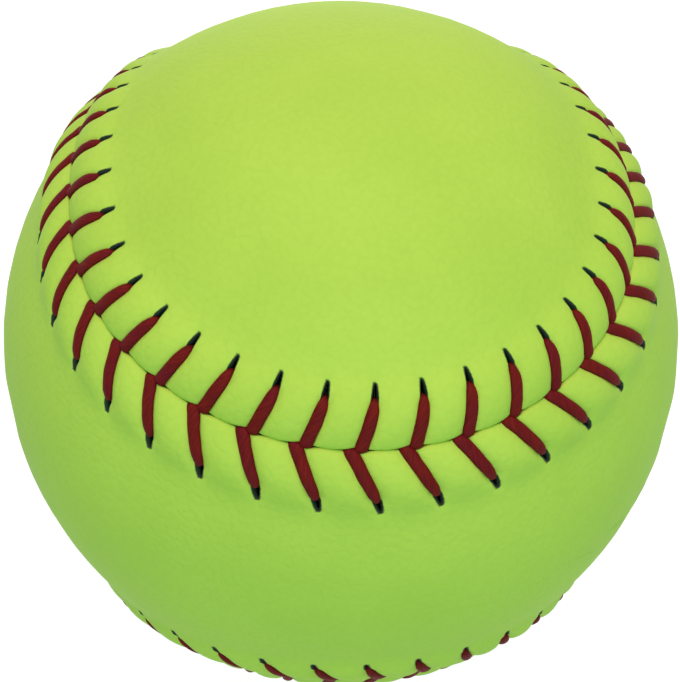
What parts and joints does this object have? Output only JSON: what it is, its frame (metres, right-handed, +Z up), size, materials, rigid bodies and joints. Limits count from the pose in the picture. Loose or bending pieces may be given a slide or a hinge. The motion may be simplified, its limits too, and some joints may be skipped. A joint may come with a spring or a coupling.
{
  "type": "softball",
  "caption": "Sewn leather softball: a solid moulded core under two interlocking cover panels, joined by a raised herringbone seam.",
  "frame": {"origin": "centre of the ball", "axes": "+Z up through the top lobe of panel A, +Y to the back through the waist of panel A, +X to the right through a lobe of panel B"},
  "size_m": [0.097, 0.097, 0.097],
  "materials": {
    "core_polyurethane": "moulded polyurethane foam with a closed skin",
    "cement": "thin brushed coat of dried contact cement",
    "cover_leather": "optic yellow leather, fine smooth grain, low sheen",
    "waxed_thread": "dark red waxed twisted thread"
  },
  "bodies": {
    "root": {"core": "core_polyurethane", "cement_coat": "cement", "cover_panel_a": "cover_leather", "cover_panel_b": "cover_leather", "seam_thread": "waxed_thread"}
  },
  "joints": []
}
